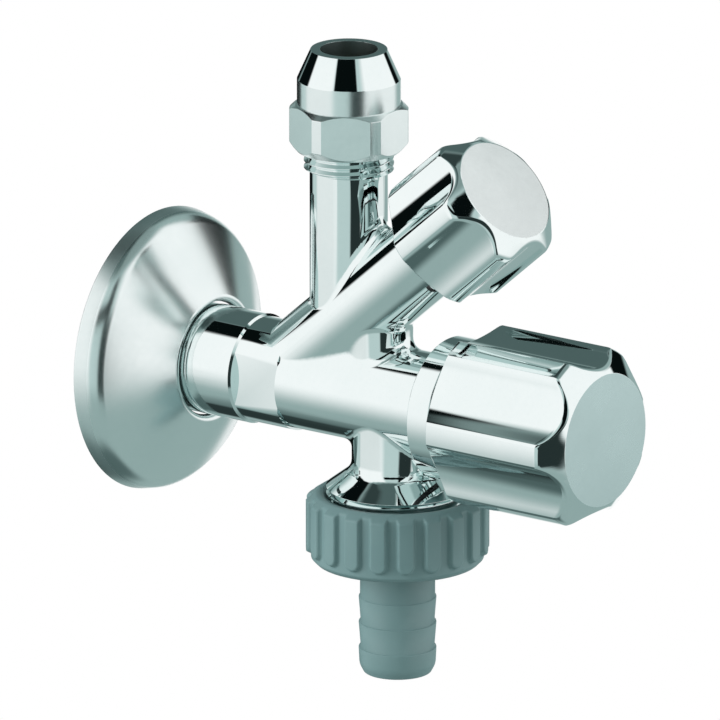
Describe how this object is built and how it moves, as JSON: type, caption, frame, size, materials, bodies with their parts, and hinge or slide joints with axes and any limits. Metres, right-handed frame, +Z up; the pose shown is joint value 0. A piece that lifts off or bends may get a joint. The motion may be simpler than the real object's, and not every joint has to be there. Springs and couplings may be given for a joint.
{
  "type": "combination angle valve",
  "caption": "Combination angle valve: wall inlet with sliding rosette, compression outlet on top with an oblique handle, and a hose outlet below with union nut and front handle.",
  "frame": {"origin": "on the inlet's centre line in the plane of the wall, where the inlet thread begins", "axes": "+Y into the wall along the inlet, +Z up along the compression outlet, +X to the right seen from the front"},
  "size_m": [0.0532, 0.1146, 0.1175],
  "materials": {
    "chromed_brass": "polished chrome plate",
    "chromed_zinc": "polished chrome plate",
    "brass": "turned",
    "grey_plastic": "moulded, satin",
    "black_rubber": "matt",
    "white_plastic": "moulded",
    "spring_steel": "bright drawn"
  },
  "bodies": {
    "body": {"valve_body": "chromed_brass", "appliance_bonnet": "chromed_brass", "appliance_bonnet_gasket": "black_rubber", "basin_bonnet": "chromed_brass", "basin_bonnet_gasket": "black_rubber", "check_valve_housing": "white_plastic", "check_valve_seal": "black_rubber", "check_valve_spring": "spring_steel"},
    "rosette": {"rosette": "chromed_brass"},
    "appliance_handle": {"appliance_handle": "chromed_zinc", "appliance_spindle": "brass", "appliance_spindle_seals": "black_rubber", "appliance_clip": "spring_steel"},
    "appliance_plunger": {"appliance_plunger": "brass", "appliance_washer": "black_rubber", "appliance_washer_screw": "brass"},
    "basin_handle": {"basin_handle": "chromed_zinc", "basin_spindle": "brass", "basin_spindle_seals": "black_rubber", "basin_clip": "spring_steel"},
    "basin_plunger": {"basin_plunger": "brass", "basin_washer": "black_rubber", "basin_washer_screw": "brass"},
    "ferrule": {"compression_ferrule": "brass"},
    "compression_nut": {"compression_nut": "chromed_brass"},
    "hose_tail": {"hose_tail": "grey_plastic", "hose_gasket": "black_rubber"},
    "union_nut": {"union_nut": "grey_plastic"},
    "poppet": {"check_valve_poppet": "white_plastic"}
  },
  "joints": [
    {"name": "rosette_slide", "type": "slide", "parent": "body", "child": "rosette", "axis": [0, -1, 0], "range_m": [0, 0.009]},
    {"name": "appliance_turn", "type": "hinge", "parent": "body", "child": "appliance_handle", "pos_m": [0, -0.0719, 0], "axis": [0, -1, 0], "range_deg": [0, 720]},
    {"name": "appliance_lift", "type": "slide", "parent": "body", "child": "appliance_plunger", "axis": [0, -1, 0], "range_m": [0, 0.005]},
    {"name": "basin_turn", "type": "hinge", "parent": "body", "child": "basin_handle", "pos_m": [0, -0.029, 0], "axis": [0, -0.7547, 0.6561], "range_deg": [0, 720]},
    {"name": "basin_lift", "type": "slide", "parent": "body", "child": "basin_plunger", "axis": [0, -0.7547, 0.6561], "range_m": [0, 0.004]},
    {"name": "compression_rise", "type": "slide", "parent": "body", "child": "ferrule", "axis": [0, 0, 1], "range_m": [0, 0.00401]},
    {"name": "compression_turn", "type": "hinge", "parent": "ferrule", "child": "compression_nut", "pos_m": [0, -0.0437, 0.05], "axis": [0, 0, 1], "range_deg": [0, 1080]},
    {"name": "union_drop", "type": "slide", "parent": "body", "child": "hose_tail", "axis": [0, 0, -1], "range_m": [0, 0.00544]},
    {"name": "union_turn", "type": "hinge", "parent": "hose_tail", "child": "union_nut", "pos_m": [0, -0.0549, -0.025], "axis": [0, 0, -1], "range_deg": [0, 1080]},
    {"name": "poppet_lift", "type": "slide", "parent": "body", "child": "poppet", "axis": [0, 0, -1], "range_m": [0, 0.002], "stiffness_N_per_m": 300, "springref_m": -0.002, "deforming": ["check_valve_spring"]}
  ],
  "couplings": [
    {"joint": "appliance_lift", "follows": "appliance_turn", "m_per_rad": 0.00039789},
    {"joint": "basin_lift", "follows": "basin_turn", "m_per_rad": 0.00031831},
    {"joint": "compression_turn", "follows": "compression_rise", "rad_per_m": 4699.5},
    {"joint": "union_turn", "follows": "union_drop", "rad_per_m": 3463.7}
  ]
}
